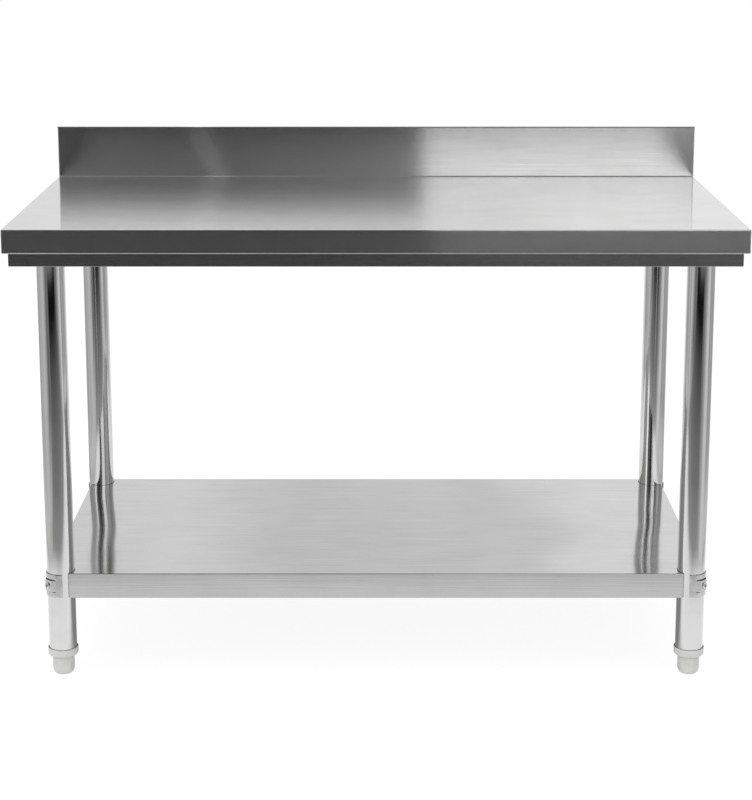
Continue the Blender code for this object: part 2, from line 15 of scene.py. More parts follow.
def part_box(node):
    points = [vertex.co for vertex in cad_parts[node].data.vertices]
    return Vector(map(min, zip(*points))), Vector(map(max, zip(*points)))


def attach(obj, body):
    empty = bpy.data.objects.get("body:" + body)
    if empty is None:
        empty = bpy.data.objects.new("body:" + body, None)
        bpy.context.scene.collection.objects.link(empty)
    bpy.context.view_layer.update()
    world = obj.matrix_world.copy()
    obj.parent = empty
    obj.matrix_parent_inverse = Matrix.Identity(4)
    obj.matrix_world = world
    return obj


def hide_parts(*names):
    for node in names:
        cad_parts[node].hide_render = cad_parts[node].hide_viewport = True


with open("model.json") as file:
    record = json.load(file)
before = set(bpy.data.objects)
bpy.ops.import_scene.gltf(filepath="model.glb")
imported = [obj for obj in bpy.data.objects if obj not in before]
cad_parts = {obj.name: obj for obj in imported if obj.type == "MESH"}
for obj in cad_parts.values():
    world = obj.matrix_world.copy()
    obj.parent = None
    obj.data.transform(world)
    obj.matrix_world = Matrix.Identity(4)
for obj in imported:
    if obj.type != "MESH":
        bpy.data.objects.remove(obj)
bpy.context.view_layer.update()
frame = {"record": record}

CORNERS = (("front_left", -1, -1), ("front_right", 1, -1), ("rear_right", 1, 1), ("rear_left", -1, 1))

# Places and sizes read from the frame
TOP_LOW, TOP_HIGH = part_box("worktop")
SURFACE = next(m for m in frame["record"]["mounts"] if m["name"] == "worktop_surface")["pos_m"][2]
SHELF_LOW, SHELF_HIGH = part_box("undershelf")
LEG_LOW, LEG_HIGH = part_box("leg_tube_rear_right")
LEG_X = (LEG_LOW.x + LEG_HIGH.x) / 2
LEG_Y = (LEG_LOW.y + LEG_HIGH.y) / 2
LEG_RADIUS = (LEG_HIGH.x - LEG_LOW.x) / 2
RAIL_LOW, RAIL_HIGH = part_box("front_rail")
REAR_RAIL_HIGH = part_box("rear_rail")[1]
COLLAR_LOW, COLLAR_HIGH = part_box("foot_collar_rear_right")
BULLET_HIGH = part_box("foot_bullet_rear_right")[1]
STUD_LOW, STUD_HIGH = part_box("foot_stud_rear_right")
BRACKET_LOW, BRACKET_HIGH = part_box("corner_bracket_rear_right")
SADDLE_LOW, SADDLE_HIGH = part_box("clamp_saddle_rear_right")
GAP = 0.0003

# Worktop sheet
TOP_SHEET = 0.0012
APRON_HEM = 0.008
SPLASH_DEPTH = 0.016
SPLASH_DROP = 0.020
SPLASH_NOTCH = 0.004
SPLASH_END_GAP = 0.001
TOP_FOLD_RADIUS = 0.0024

# Underframe
RAIL_SHEET = 0.0015
RAIL_FLANGE = 0.014
RAIL_FOLD_RADIUS = 0.0012
HAT_WIDTH = 0.040
HAT_BRIM = 0.012
HAT_SHEET = 0.0012

# Undershelf
SHELF_SHEET = 0.001
SHELF_HEM = 0.012
SHELF_HEM_RELIEF = 0.002
LIP_OFFSET = SHELF_HIGH.y - LEG_Y
NOTCH_RADIUS = LEG_RADIUS + SHELF_SHEET + GAP
SHELF_FOLD_RADIUS = 0.0012

# Clamps
CLAMP_RADIUS = LEG_RADIUS + GAP
SADDLE_SHEET = 0.002
PLATE_EDGE = 0.0004
SADDLE_HALF_ANGLE = math.radians(60)
SLIT_HALF_ANGLE = math.radians(31)
SLIT_WIDTH = 0.0014
STRIP_HEIGHT = 0.023
SEAT_HALF_ANGLE = math.radians(14)
SEAT_RISE = 0.0022
BRACKET_HALF_ANGLE = math.radians(74)
SCREW_Z = (SADDLE_LOW.z + SADDLE_HIGH.z) / 2
SCREW_RADIUS = 0.003
SCREW_HEAD_RADIUS = 0.006
SCREW_HEAD_HEIGHT = 0.0036
NUT_ACROSS_CORNERS = 0.0116
NUT_HEIGHT = 0.005
SCREW_PITCH = 0.001
THREAD_DEPTH_TO_PITCH = 0.5

# Leg sockets
SOCKET_PLATE = 0.084
SOCKET_THICKNESS = 0.003
SPIGOT_LENGTH = 0.060
SPIGOT_WALL = 0.0025
LEG_WALL = 0.0012
SET_SCREW_RADIUS = 0.004
SET_SCREW_Z = LEG_HIGH.z - 0.030

# Levelling feet
PLUG_RADIUS = LEG_RADIUS - LEG_WALL - GAP
COLLAR_RADIUS = (COLLAR_HIGH.x - COLLAR_LOW.x) / 2
STUD_RADIUS = 0.006
STUD_PITCH = 0.00175
BULLET_RADIUS = 0.0214
BULLET_FLATS = 0.0196
BULLET_FLAT_TOP = 0.026
BULLET_PAD_RADIUS = 0.0135
BULLET_TAPER_TOP = 0.0135

# Welds
BEAD_RADIUS = 0.0010
BEAD_RIPPLE = 0.0021

# Wipe mark on the upstand: where its middle meets the worktop, and how far it leans left as it rises
SMEAR_FOOT = -0.348
SMEAR_SLANT = 0.39
SMEAR_HALF_WIDTH = 0.050
SMEAR_STRENGTH = 0.42

# Camera, from the perspective of the view
CAMERA_PLACE = (0.0031, -3.9151, 1.5227)
CAMERA_DOWN = 0.1988
CAMERA_LENS = 87.45
CAMERA_SHIFT = (-0.002, -0.15)


# Meshes


def new_object(name, mesh):
    obj = bpy.data.objects.new(name, mesh)
    bpy.context.scene.collection.objects.link(obj)
    return obj


def mesh_of(bm, name):
    bmesh.ops.recalc_face_normals(bm, faces=bm.faces)
    mesh = bpy.data.meshes.new(name)
    bm.to_mesh(mesh)
    bm.free()
    return mesh


def bake(obj):
    """The object's mesh with its modifiers applied. The object and its cutters are removed."""
    bpy.context.view_layer.update()
    graph = bpy.context.evaluated_depsgraph_get()
    mesh = bpy.data.meshes.new_from_object(obj.evaluated_get(graph))
    mesh.name = obj.name
    cutters = [m.object for m in obj.modifiers if m.type == "BOOLEAN"]
    for used in [obj, *cutters]:
        bpy.data.objects.remove(used, do_unlink=True)
    return mesh


def bevel(obj, width, segments, angle=30):
    modifier = obj.modifiers.new("round", "BEVEL")
    modifier.width = width
    modifier.segments = segments
    modifier.limit_method = "ANGLE"
    modifier.angle_limit = math.radians(angle)
    modifier.use_clamp_overlap = False
    return modifier


def even_shading(mesh, angle=35):
    """Smooth shading in which large flat faces stay flat, as modifiers baked into the mesh."""
    mesh.shade_smooth()
    mesh.set_sharp_from_angle(angle=math.radians(angle))
    obj = new_object(mesh.name, mesh)
    weighted = obj.modifiers.new("even", "WEIGHTED_NORMAL")
    weighted.weight = 100
    weighted.keep_sharp = True
    return bake(obj)


def box_mesh(name, low, high, edge=0.0):
    bm = bmesh.new()
    bmesh.ops.create_cube(bm, size=1)
    bmesh.ops.scale(bm, vec=Vector(high) - Vector(low), verts=bm.verts)
    bmesh.ops.translate(bm, vec=(Vector(high) + Vector(low)) / 2, verts=bm.verts)
    mesh = mesh_of(bm, name)
    if not edge:
        return mesh
    obj = new_object(name, mesh)
    bevel(obj, edge, 2)
    return bake(obj)


def rod_mesh(name, radius, start, end, sides=48):
    """A closed cylinder from start to end along X."""
    bm = bmesh.new()
    bmesh.ops.create_cone(
        bm, cap_ends=True, segments=sides, radius1=radius, radius2=radius, depth=end - start
    )
    bmesh.ops.rotate(bm, matrix=Matrix.Rotation(math.pi / 2, 3, "Y"), verts=bm.verts)
    bmesh.ops.translate(bm, vec=((start + end) / 2, 0, 0), verts=bm.verts)
    return mesh_of(bm, name)


def turned_mesh(name, profile, steps=96):
    """A profile of (radius, z) points, down the outer side, turned about Z. It is a closed ring unless it
    starts and ends on the axis."""
    mesh = bpy.data.meshes.new(name)
    edges = [(i, i + 1) for i in range(len(profile) - 1)]
    if profile[0][0] > 0:
        edges.append((len(profile) - 1, 0))
    mesh.from_pydata([(r, 0, z) for r, z in profile], edges, [])
    obj = new_object(name, mesh)
    screw = obj.modifiers.new("turn", "SCREW")
    screw.steps = screw.render_steps = steps
    screw.use_merge_vertices = True
    screw.merge_threshold = 0.00001
    return bake(obj)


def arc(middle, radius, start, end, count):
    """count points on an arc, with angles in degrees."""
    turns = [math.radians(start + (end - start) * i / (count - 1)) for i in range(count)]
    return [(middle[0] + radius * math.cos(a), middle[1] + radius * math.sin(a)) for a in turns]


def cut(mesh, cutters):
    """The mesh with each cutter mesh cut out of it."""
    obj = new_object(mesh.name, mesh)
    for i, cutter in enumerate(cutters):
        boolean = obj.modifiers.new(f"cut_{i}", "BOOLEAN")
        boolean.operation = "DIFFERENCE"
        boolean.object = new_object(f"cutter_{i}", cutter)
    return bake(obj)


def moved(mesh, x=0, y=0, z=0, turn=0):
    """The mesh turned about Z and then moved."""
    mesh.transform(Matrix.Translation((x, y, z)) @ Matrix.Rotation(turn, 4, "Z"))
    return mesh


def joined(name, meshes):
    """One mesh of several closed bodies."""
    bm = bmesh.new()
    for mesh in meshes:
        bm.from_mesh(mesh)
    mesh = bpy.data.meshes.new(name)
    bm.to_mesh(mesh)
    bm.free()
    return mesh


def thicken(obj, thickness):
    solid = obj.modifiers.new("sheet", "SOLIDIFY")
    solid.solidify_mode = "NON_MANIFOLD"
    solid.nonmanifold_thickness_mode = "CONSTRAINTS"
    solid.thickness = thickness
    solid.offset = -1


def edge_between(bm, a, b):
    """The edge whose two ends are at these points."""
    for edge in bm.edges:
        ends = [v.co for v in edge.verts]
        for p, q in (ends, ends[::-1]):
            if (p - Vector(a)).length < 1e-6 and (q - Vector(b)).length < 1e-6:
                return edge
    raise ValueError(f"no edge from {a} to {b}")


def extrude(bm, edges, vec):
    """Extrudes edges along vec and returns the new edges."""
    made = bmesh.ops.extrude_edge_only(bm, edges=edges)["geom"]
    verts = [g for g in made if isinstance(g, bmesh.types.BMVert)]
    bmesh.ops.translate(bm, vec=vec, verts=verts)
    return [g for g in made if isinstance(g, bmesh.types.BMEdge) and set(g.verts) <= set(verts)]


def orient_like(bm, point, normal):
    """Makes the surface's normals consistent, so that the face at this point has this normal."""
    bmesh.ops.recalc_face_normals(bm, faces=bm.faces)
    nearest = min(bm.faces, key=lambda f: (f.calc_center_median() - Vector(point)).length)
    if nearest.normal.dot(Vector(normal)) < 0:
        bmesh.ops.reverse_faces(bm, faces=bm.faces)


def folded_sheet(bm, name, thickness, radius, segments):
    """The open surface as a sheet with rounded folds."""
    mesh = bpy.data.meshes.new(name)
    bm.to_mesh(mesh)
    bm.free()
    obj = new_object(name, mesh)
    bevel(obj, radius, segments)
    thicken(obj, thickness)
    return even_shading(bake(obj))


def worktop_mesh():
    """Surface, front and side aprons with hems, and the upstand with its top, back and end folds."""
    x, front = TOP_HIGH.x, TOP_LOW.y
    back = TOP_HIGH.y - SPLASH_DEPTH
    end_top = TOP_HIGH.z - SPLASH_NOTCH
    bm = bmesh.new()
    corners = [(-x, front), (x, front), (x, back), (-x, back)]
    bm.faces.new([bm.verts.new((cx, cy, SURFACE)) for cx, cy in corners])
    sides = [
        edge_between(bm, (-x, front, SURFACE), (x, front, SURFACE)),
        edge_between(bm, (x, front, SURFACE), (x, back, SURFACE)),
        edge_between(bm, (-x, back, SURFACE), (-x, front, SURFACE)),
    ]
    hem = extrude(bm, extrude(bm, sides, (0, 0, TOP_LOW.z - SURFACE)), (0, 0, 0))
    for vert in {v for e in hem for v in e.verts}:
        vert.co.x -= math.copysign(APRON_HEM, vert.co.x)
        if vert.co.y < 0:
            vert.co.y += APRON_HEM
    riser = [edge_between(bm, (-x, back, SURFACE), (x, back, SURFACE))]
    riser = extrude(bm, riser, (0, 0, end_top - SURFACE))
    riser = extrude(bm, riser, (0, 0, SPLASH_NOTCH))
    riser = extrude(bm, riser, (0, SPLASH_DEPTH, 0))
    extrude(bm, riser, (0, 0, -SPLASH_DROP))
    for px in (-x, x):
        ends = [
            edge_between(bm, (px, back, TOP_LOW.z), (px, back, SURFACE)),
            edge_between(bm, (px, back, SURFACE), (px, back, end_top)),
        ]
        extrude(bm, ends, (0, SPLASH_DEPTH - TOP_SHEET - SPLASH_END_GAP, 0))
    orient_like(bm, (0, 0, SURFACE), (0, 0, 1))
    return folded_sheet(bm, "worktop_sheet", TOP_SHEET, TOP_FOLD_RADIUS, 5)


def shelf_corner(sx, sy, steps=40):
    """The concave notch round one leg, from the front or back lip to the side lip, in order of angle."""
    reach = math.asin(LIP_OFFSET / NOTCH_RADIUS)
    inward = math.atan2(-sy, -sx)
    spread = math.pi / 4 + reach
    points = []
    for i in range(steps + 1):
        a = inward - spread + 2 * spread * i / steps
        px = sx * LEG_X + NOTCH_RADIUS * math.cos(a)
        py = sy * LEG_Y + NOTCH_RADIUS * math.sin(a)
        points.append((px, py, SHELF_HIGH.z))
    return points


def shelf_mesh():
    """Surface with lips and hems on four sides and a round notch at each leg."""
    bm = bmesh.new()
    outline = []
    for _, sx, sy in CORNERS:
        outline += reversed(shelf_corner(sx, sy))
    bm.faces.new([bm.verts.new(p) for p in outline])
    for edge in [e for e in bm.edges if e.calc_length() > LEG_Y]:
        middle = sum((v.co for v in edge.verts), Vector()) / 2
        inward = Vector((-middle.x, -middle.y, 0)).normalized()
        along = Vector((abs(inward.y), abs(inward.x), 0))
        lip = extrude(bm, [edge], (0, 0, SHELF_LOW.z - SHELF_HIGH.z))
        hem = extrude(bm, lip, inward * SHELF_HEM)
        for vert in hem[0].verts:
            past = (vert.co - middle).dot(along)
            vert.co -= along * math.copysign(SHELF_HEM + SHELF_HEM_RELIEF, past)
    orient_like(bm, (0, 0, SHELF_HIGH.z), (0, 0, 1))
    return folded_sheet(bm, "undershelf_sheet", SHELF_SHEET, SHELF_FOLD_RADIUS, 4)


def folded_rail(name, profile, half_length):
    """A rail along X from an open profile of (inward, z) points, mitred at both ends. Inward is +Y."""
    bm = bmesh.new()
    ends = []
    for side in (-1, 1):
        ends.append([bm.verts.new((side * (half_length - d - GAP), d, z)) for d, z in profile])
    for i in range(len(profile) - 1):
        bm.faces.new((ends[0][i], ends[0][i + 1], ends[1][i + 1], ends[1][i]))
    top, bottom = profile[1][1], profile[2][1]
    orient_like(bm, (0, profile[1][0], (top + bottom) / 2), (0, -1, 0))
    return folded_sheet(bm, name, RAIL_SHEET, RAIL_FOLD_RADIUS, 3)


def hat_mesh(name, half_length, height):
    """An open-bottomed hat section along X with its crown at z = 0 and its brims below."""
    half = HAT_WIDTH / 2
    bm = bmesh.new()
    profile = [(-half - HAT_BRIM, -height), (-half, -height), (-half, 0), (half, 0)]
    profile += [(half, -height), (half + HAT_BRIM, -height)]
    verts = [bm.verts.new((-half_length, y, z)) for y, z in profile]
    edges = [bm.edges.new(pair) for pair in zip(verts, verts[1:])]
    extrude(bm, edges, (2 * half_length, 0, 0))
    orient_like(bm, (0, 0, 0), (0, 0, 1))
    return folded_sheet(bm, name, HAT_SHEET, RAIL_FOLD_RADIUS, 3)


def leg_mesh():
    """A tube with broken edges and the clamp screw's holes, along Z with the outward diagonal along +X."""
    edge = 0.0003
    outer, inner = LEG_RADIUS, LEG_RADIUS - LEG_WALL
    profile = [(outer - edge, LEG_HIGH.z), (outer, LEG_HIGH.z - edge), (outer, LEG_LOW.z + edge)]
    profile += [(outer - edge, LEG_LOW.z), (inner, LEG_LOW.z), (inner, LEG_HIGH.z)]
    tube = turned_mesh("leg", profile, 128)
    reach = LEG_RADIUS + 0.002
    holes = [moved(rod_mesh("hole", SCREW_RADIUS + GAP, -reach, reach), z=SCREW_Z)]
    holes.append(moved(rod_mesh("hole", SET_SCREW_RADIUS + GAP, -reach, 0), z=SET_SCREW_Z))
    return even_shading(cut(tube, holes))


def socket_mesh():
    """A square plate with a spigot tube under it."""
    top = LEG_HIGH.z + GAP + SOCKET_THICKNESS
    half = SOCKET_PLATE / 2
    plate = box_mesh("plate", (-half, -half, top - SOCKET_THICKNESS), (half, half, top), 0.0005)
    moved(plate, turn=math.pi / 4)
    outer = PLUG_RADIUS
    bottom = top - SOCKET_THICKNESS
    low = bottom - SPIGOT_LENGTH
    profile = [(outer, bottom), (outer, low + 0.001), (outer - 0.001, low)]
    profile += [(outer - SPIGOT_WALL, low), (outer - SPIGOT_WALL, bottom)]
    return even_shading(joined("socket", [plate, turned_mesh("spigot", profile, 96)]))


def set_screw_mesh():
    outer_end = -LEG_RADIUS
    body = rod_mesh("set_screw", SET_SCREW_RADIUS, outer_end, outer_end + 0.0057)
    recess = rod_mesh("recess", 0.0022, outer_end - 0.001, outer_end + 0.0025, 6)
    return even_shading(moved(cut(body, [recess]), z=SET_SCREW_Z))


def curved_plate(name, columns, rows, radius_at, missing=()):
    """A plate round the Z axis, made of a grid of angles and heights, thickened outward. radius_at gives the
    inner radius at an angle and a row; missing holds the (column, row) cells left open."""
    bm = bmesh.new()
    grid = []
    for a in columns:
        radii = [radius_at(a, r) for r in range(len(rows))]
        grid.append([bm.verts.new((q * math.cos(a), q * math.sin(a), z)) for q, z in zip(radii, rows)])
    for c in range(len(columns) - 1):
        for r in range(len(rows) - 1):
            if (c, r) not in missing:
                bm.faces.new((grid[c][r], grid[c + 1][r], grid[c + 1][r + 1], grid[c][r + 1]))
    a = columns[len(columns) // 2]
    outward = Vector((math.cos(a), math.sin(a), 0))
    orient_like(bm, outward * CLAMP_RADIUS + Vector((0, 0, rows[0])), -outward)
    mesh = bpy.data.meshes.new(name)
    bm.to_mesh(mesh)
    bm.free()
    obj = new_object(name, mesh)
    thicken(obj, SADDLE_SHEET)
    bevel(obj, PLATE_EDGE, 2, 50)
    return bake(obj)


def spread(start, end, count):
    return [start + (end - start) * i / count for i in range(count)]


def strip_radius(angle):
    """Inner radius of the raised strip: a flat seat across the middle, easing down to the leg."""
    flat = CLAMP_RADIUS + SEAT_RISE
    a = abs(angle)
    if a <= SEAT_HALF_ANGLE:
        return flat / math.cos(a)
    t = min((a - SEAT_HALF_ANGLE) / (SLIT_HALF_ANGLE - SEAT_HALF_ANGLE), 1)
    ease = t * t * (3 - 2 * t)
    return flat / math.cos(SEAT_HALF_ANGLE) * (1 - ease) + CLAMP_RADIUS * ease


def saddle_mesh():
    """The clamp plate outside a leg, centred on +X, with two slits and the strip between them raised."""
    end, slit, seat = SADDLE_HALF_ANGLE, SLIT_HALF_ANGLE, SEAT_HALF_ANGLE
    half = spread(-end, -slit, 10) + spread(-slit, -seat, 8) + spread(-seat, 0, 4)
    columns = half + [0] + [-a for a in reversed(half)]
    strip = STRIP_HEIGHT / 2
    rows = [SADDLE_LOW.z, SCREW_Z - strip - SLIT_WIDTH, SCREW_Z - strip]
    rows += [SCREW_Z + strip, SCREW_Z + strip + SLIT_WIDTH, SADDLE_HIGH.z]

    def radius_at(angle, r):
        raised = r in (2, 3) and abs(angle) < slit - 1e-6
        return strip_radius(angle) if raised else CLAMP_RADIUS

    open_columns = [c for c in range(len(columns) - 1) if abs(columns[c] + columns[c + 1]) / 2 < slit]
    missing = {(c, r) for c in open_columns for r in (1, 3)}
    plate = curved_plate("saddle", columns, rows, radius_at, missing)
    hole = rod_mesh("hole", SCREW_RADIUS + GAP, LEG_RADIUS - 0.004, LEG_RADIUS + 0.01)
    return even_shading(cut(plate, [moved(hole, z=SCREW_Z)]))


def bracket_mesh():
    """The curved plate under the shelf's notch, on the -X side of the leg."""
    columns = spread(math.pi - BRACKET_HALF_ANGLE, math.pi + BRACKET_HALF_ANGLE, 40)
    columns.append(math.pi + BRACKET_HALF_ANGLE)
    plate = curved_plate("bracket", columns, [BRACKET_LOW.z, BRACKET_HIGH.z], lambda a, r: CLAMP_RADIUS)
    hole = rod_mesh("hole", SCREW_RADIUS + GAP, -LEG_RADIUS - 0.01, -LEG_RADIUS + 0.004)
    return even_shading(cut(plate, [moved(hole, z=SCREW_Z)]))


def threaded_rod(name, radius, pitch, low, high, thread_low, thread_high, sides=36, per_turn=8):
    """A solid rod along Z with a helical ridge between two heights."""
    rows = max(2, round((thread_high - thread_low) / pitch * per_turn))
    heights = [low, low + pitch / 3]
    heights += [thread_low + (thread_high - thread_low) * i / rows for i in range(rows + 1)]
    heights += [high - pitch / 3, high]
    bm = bmesh.new()
    rings = []
    for k, z in enumerate(heights):
        chamfer = pitch / 3 if k in (0, len(heights) - 1) else 0
        ring = []
        for i in range(sides):
            a = math.tau * i / sides
            phase = (z / pitch - a / math.tau) % 1
            ridge = 1 - 2 * abs(phase - 0.5)
            depth = THREAD_DEPTH_TO_PITCH * pitch * ridge if 1 < k < len(heights) - 2 else 0
            r = radius - depth - chamfer
            ring.append(bm.verts.new((r * math.cos(a), r * math.sin(a), z)))
        rings.append(ring)
    for lower, upper in zip(rings, rings[1:]):
        for i in range(sides):
            j = (i + 1) % sides
            bm.faces.new((lower[i], lower[j], upper[j], upper[i]))
    bm.faces.new(rings[0])
    bm.faces.new(rings[-1])
    mesh = mesh_of(bm, name)
    mesh.shade_smooth()
    mesh.set_sharp_from_angle(angle=math.radians(40))
    return mesh


def screw_mesh():
    """A pan-head screw with a cross recess and a threaded shank, along X with its head at +X."""
    under = CLAMP_RADIUS + SEAT_RISE + SADDLE_SHEET + GAP
    top = under + SCREW_HEAD_HEIGHT
    crown_radius = 0.0026
    crown = arc((SCREW_HEAD_RADIUS - crown_radius, top - crown_radius), crown_radius, 90, 0, 12)
    dome = [(0, top), (0.0018, top - 0.00005), *[(r, z) for r, z in crown]]
    profile = dome + [(SCREW_HEAD_RADIUS, under), (SCREW_RADIUS, under), (SCREW_RADIUS, under - 0.004)]
    profile.append((0, under - 0.004))
    head = turned_mesh("head", profile, 64)
    bars = []
    for turn in (0, math.pi / 2):
        bar = box_mesh("bar", (-0.0038, -0.0009, top - 0.0026), (0.0038, 0.0009, top + 0.001))
        bars.append(moved(bar, turn=turn + math.radians(8)))
    head = even_shading(cut(head, bars))
    tip = -(CLAMP_RADIUS + SADDLE_SHEET + NUT_HEIGHT + 0.004)
    thread = (tip + 0.001, under - 0.006)
    shank = threaded_rod("shank", SCREW_RADIUS, SCREW_PITCH, tip, under - 0.0041, *thread, 24, 6)
    mesh = joined("screw", [head, shank])
    mesh.transform(Matrix.Translation((0, 0, SCREW_Z)) @ Matrix.Rotation(math.pi / 2, 4, "Y"))
    return mesh


def nut_mesh():
    start = CLAMP_RADIUS + SADDLE_SHEET + GAP
    body = rod_mesh("nut", NUT_ACROSS_CORNERS / 2, -start - NUT_HEIGHT, -start, 6)
    obj = new_object("nut", body)
    bevel(obj, 0.0005, 2)
    bore = rod_mesh("bore", SCREW_RADIUS + GAP, -start - NUT_HEIGHT - 0.002, -start + 0.002)
    return even_shading(moved(cut(bake(obj), [bore]), z=SCREW_Z))


def collar_mesh():
    """The plastic insert in the tube's end: a rounded ring with a shadow groove round the tube, over a hollow
    plug with a threaded boss."""
    top, low = LEG_LOW.z - GAP, COLLAR_LOW.z
    rounding = 0.0055
    groove_floor = top - 0.0045
    groove_wall = LEG_RADIUS + 0.0015
    plug_top, boss_top, pocket_floor, boss = COLLAR_HIGH.z, COLLAR_HIGH.z - 0.005, 0.060, 0.012
    profile = [(PLUG_RADIUS - 0.0006, plug_top), (PLUG_RADIUS, plug_top - 0.002), (PLUG_RADIUS, top)]
    profile += [(LEG_RADIUS - 0.0002, top), (LEG_RADIUS - 0.0002, groove_floor), (groove_wall, groove_floor)]
    profile += [(groove_wall, top - 0.0009)]
    profile += arc((COLLAR_RADIUS - 0.0007, top - 0.0007), 0.0007, 90, 0, 6)
    profile += arc((COLLAR_RADIUS - rounding, low + rounding), rounding, 0, -90, 14)
    bore = STUD_RADIUS + GAP
    profile += [(bore, low), (bore, boss_top), (boss, boss_top), (boss, pocket_floor)]
    profile += [(PLUG_RADIUS - 0.003, pocket_floor), (PLUG_RADIUS - 0.003, plug_top)]
    return even_shading(turned_mesh("collar", profile, 96), 50)


def bullet_mesh(sides=96):
    """A loft of round sections into a rounded hexagon, with a moulded rim and a blind bore for the stud."""
    bore = STUD_RADIUS + GAP
    top = BULLET_HIGH.z
    floor = STUD_LOW.z - GAP
    outer = [(BULLET_RADIUS - 0.0030, top), (BULLET_RADIUS - 0.0016, top - 0.0003)]
    outer += [(BULLET_RADIUS - 0.0010, top - 0.0010), (BULLET_RADIUS - 0.0006, top - 0.0040)]
    outer += [(BULLET_RADIUS - 0.0002, 0.0310), (BULLET_RADIUS, BULLET_FLAT_TOP)]
    outer += [(BULLET_RADIUS, BULLET_FLAT_TOP - 0.0008), (BULLET_RADIUS, BULLET_FLAT_TOP - 0.0026)]
    outer += [(BULLET_RADIUS, 0.0180)]
    steps = 12
    for i in range(steps + 1):
        a = math.pi / 2 * i / steps
        radius = BULLET_PAD_RADIUS + (BULLET_RADIUS - BULLET_PAD_RADIUS) * math.cos(a)
        outer.append((radius, BULLET_TAPER_TOP * (1 - math.sin(a))))
    bm = bmesh.new()
    rings = []
    for radius, z in [(bore, floor), (bore, top), *outer]:
        ring = []
        for i in range(sides):
            a = math.tau * i / sides
            r = radius
            if radius > bore and z < BULLET_FLAT_TOP - 0.0001:
                across = BULLET_FLATS / math.cos(math.remainder(a, math.tau / 6))
                blend = min(1, (BULLET_FLAT_TOP - z) / 0.0026)
                r = radius * (1 - blend) + min(radius, across) * blend
            ring.append(bm.verts.new((r * math.cos(a), r * math.sin(a), z)))
        rings.append(ring)
    for lower, upper in zip(rings, rings[1:]):
        for i in range(sides):
            j = (i + 1) % sides
            bm.faces.new((lower[i], lower[j], upper[j], upper[i]))
    bm.faces.new(rings[0])
    bm.faces.new(rings[-1])
    return even_shading(mesh_of(bm, "bullet"), 40)


# Materials


class Graph:
    """A node tree with short calls. Inputs are sockets or plain values."""

    def __init__(self, tree):
        self.tree = tree

    def add(self, kind, inputs=None, output=0, **settings):
        node = self.tree.nodes.new(kind)
        for name, value in settings.items():
            setattr(node, name, value)
        for name, value in (inputs or {}).items():
            self.put(node.inputs[name], value)
        return node.outputs[output]

    def put(self, socket, value):
        if isinstance(value, bpy.types.NodeSocket):
            self.tree.links.new(value, socket)
        else:
            socket.default_value = value

    def math(self, operation, a, b=0.0):
        return self.add("ShaderNodeMath", {0: a, 1: b}, operation=operation)

    def multiply_add(self, a, b, c):
        return self.add("ShaderNodeMath", {0: a, 1: b, 2: c}, operation="MULTIPLY_ADD")

    def product(self, *factors):
        total = factors[0]
        for factor in factors[1:]:
            total = self.math("MULTIPLY", total, factor)
        return total

    def sum(self, *terms):
        total = terms[0]
        for term in terms[1:]:
            total = self.math("ADD", total, term)
        return total

    def apart(self, a, b):
        """How far apart two values are."""
        return self.math("ABSOLUTE", self.math("SUBTRACT", a, b))

    def place(self):
        return self.add("ShaderNodeNewGeometry", output="Position")

    def normal(self):
        return self.add("ShaderNodeNewGeometry", output="Normal")

    def split(self, vector):
        """The X, Y and Z of a vector."""
        return self.add("ShaderNodeSeparateXYZ", {0: vector}).node.outputs[:3]

    def glow(self, level):
        """Emission of this brightness."""
        return self.add("ShaderNodeEmission", {"Color": self.combine(level, level, level)})

    def vector(self, operation, a, b=(0, 0, 0), output=0):
        return self.add("ShaderNodeVectorMath", {0: a, 1: b}, output, operation=operation)

    def scaled(self, vector, factor):
        return self.add("ShaderNodeVectorMath", {0: vector, "Scale": factor}, operation="SCALE")

    def combine(self, x, y, z):
        return self.add("ShaderNodeCombineXYZ", {"X": x, "Y": y, "Z": z})

    def noise(self, vector, scale=1.0, detail=2.0, roughness=0.5):
        inputs = {"Vector": vector, "Scale": scale, "Detail": detail, "Roughness": roughness}
        return self.add("ShaderNodeTexNoise", inputs)

    def range(self, value, low, high, to_low=0.0, to_high=1.0, smooth=True):
        inputs = {"Value": value, "From Min": low, "From Max": high, "To Min": to_low, "To Max": to_high}
        kind = "SMOOTHSTEP" if smooth else "LINEAR"
        return self.add("ShaderNodeMapRange", inputs, interpolation_type=kind, clamp=True)

    def mix(self, factor, a, b):
        """Colours a and b mixed. The indices are a Mix node's inputs and output for colours."""
        node = self.tree.nodes.new("ShaderNodeMix")
        node.data_type = "RGBA"
        self.put(node.inputs[0], factor)
        self.put(node.inputs[6], a)
        self.put(node.inputs[7], b)
        return node.outputs[2]

    def mix_value(self, factor, a, b):
        node = self.tree.nodes.new("ShaderNodeMix")
        self.put(node.inputs[0], factor)
        self.put(node.inputs[2], a)
        self.put(node.inputs[3], b)
        return node.outputs[0]


def new_material(name, metallic):
    material = bpy.data.materials.new(name)
    material.use_nodes = True
    graph = Graph(material.node_tree)
    shader = material.node_tree.nodes["Principled BSDF"]
    shader.inputs["Metallic"].default_value = metallic
    return material, graph, shader


def grey(value, warm=0.0):
    return (value, value * (1 - warm / 2), value * (1 - warm), 1)


def wipe_mark(g, x, y, z):
    """A paler smear where a cloth was drawn down the upstand, left of its middle."""
    middle = g.multiply_add(z, -SMEAR_SLANT, SMEAR_FOOT + SMEAR_SLANT * SURFACE)
    band = g.range(g.apart(x, middle), 0, SMEAR_HALF_WIDTH, SMEAR_STRENGTH, 0)
    return g.product(band, g.math("GREATER_THAN", y, TOP_HIGH.y - SPLASH_DEPTH - 0.001))


